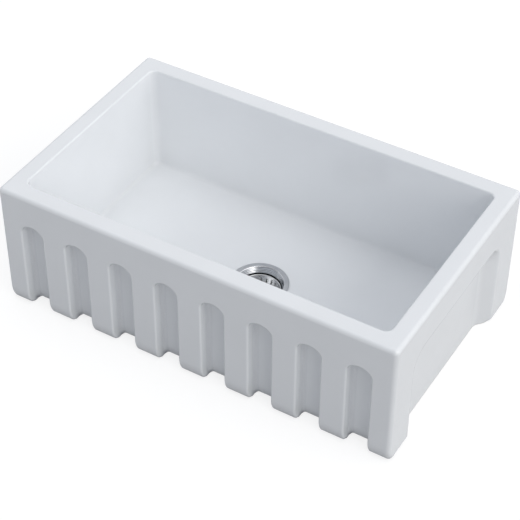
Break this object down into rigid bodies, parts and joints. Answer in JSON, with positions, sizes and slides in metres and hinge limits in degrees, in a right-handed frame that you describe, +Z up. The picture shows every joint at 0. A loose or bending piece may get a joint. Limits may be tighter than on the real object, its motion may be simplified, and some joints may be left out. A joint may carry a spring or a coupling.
{
  "type": "farmhouse apron front kitchen sink",
  "caption": "Single-bowl fireclay apron front sink with a fluted apron, recessed ends and a basket strainer whose basket lifts out and whose stopper pulls up",
  "frame": {"origin": "on the drain's axis, in the plane of the underside that rests on the cabinet", "axes": "+X along the apron, to the right seen from in front of it; +Y from the apron towards the wall; +Z up"},
  "size_m": [0.762, 0.4572, 0.4008],
  "materials": {
    "glaze": "gloss",
    "steel_flange": "polished",
    "steel_basket": "satin",
    "steel_stem": "polished",
    "knob": "polished",
    "bush": "machined",
    "black_rubber": "matte",
    "seal_rubber": "matte",
    "foam_gasket": "matte",
    "fibre": "matte",
    "nut_brass": "cast",
    "coupling_chrome": "polished",
    "tail_chrome": "polished",
    "white_plastic": "matte",
    "spider_brass": "cast"
  },
  "bodies": {
    "sink": {"sink_basin": "glaze", "flange_gasket": "foam_gasket", "strainer_body": "steel_flange", "guide_spider": "spider_brass", "rubber_washer": "black_rubber", "friction_washer": "fibre", "lock_nut": "nut_brass", "tailpiece_washer": "white_plastic", "coupling_nut": "coupling_chrome", "tailpiece": "tail_chrome"},
    "basket": {"basket": "steel_basket", "basket_bush": "bush", "stem_ring": "black_rubber"},
    "stopper": {"stopper_stem": "steel_stem", "stopper_knob": "knob", "stopper_seal": "seal_rubber", "seal_plate": "steel_stem", "seal_washer": "steel_stem", "seal_nut": "steel_stem"}
  },
  "joints": [
    {"name": "basket_lift", "type": "slide", "parent": "sink", "child": "basket", "axis": [0, 0, 1], "range_m": [0, 0.3]},
    {"name": "stopper_pull", "type": "slide", "parent": "basket", "child": "stopper", "axis": [0, 0, 1], "range_m": [0, 0.008]}
  ]
}
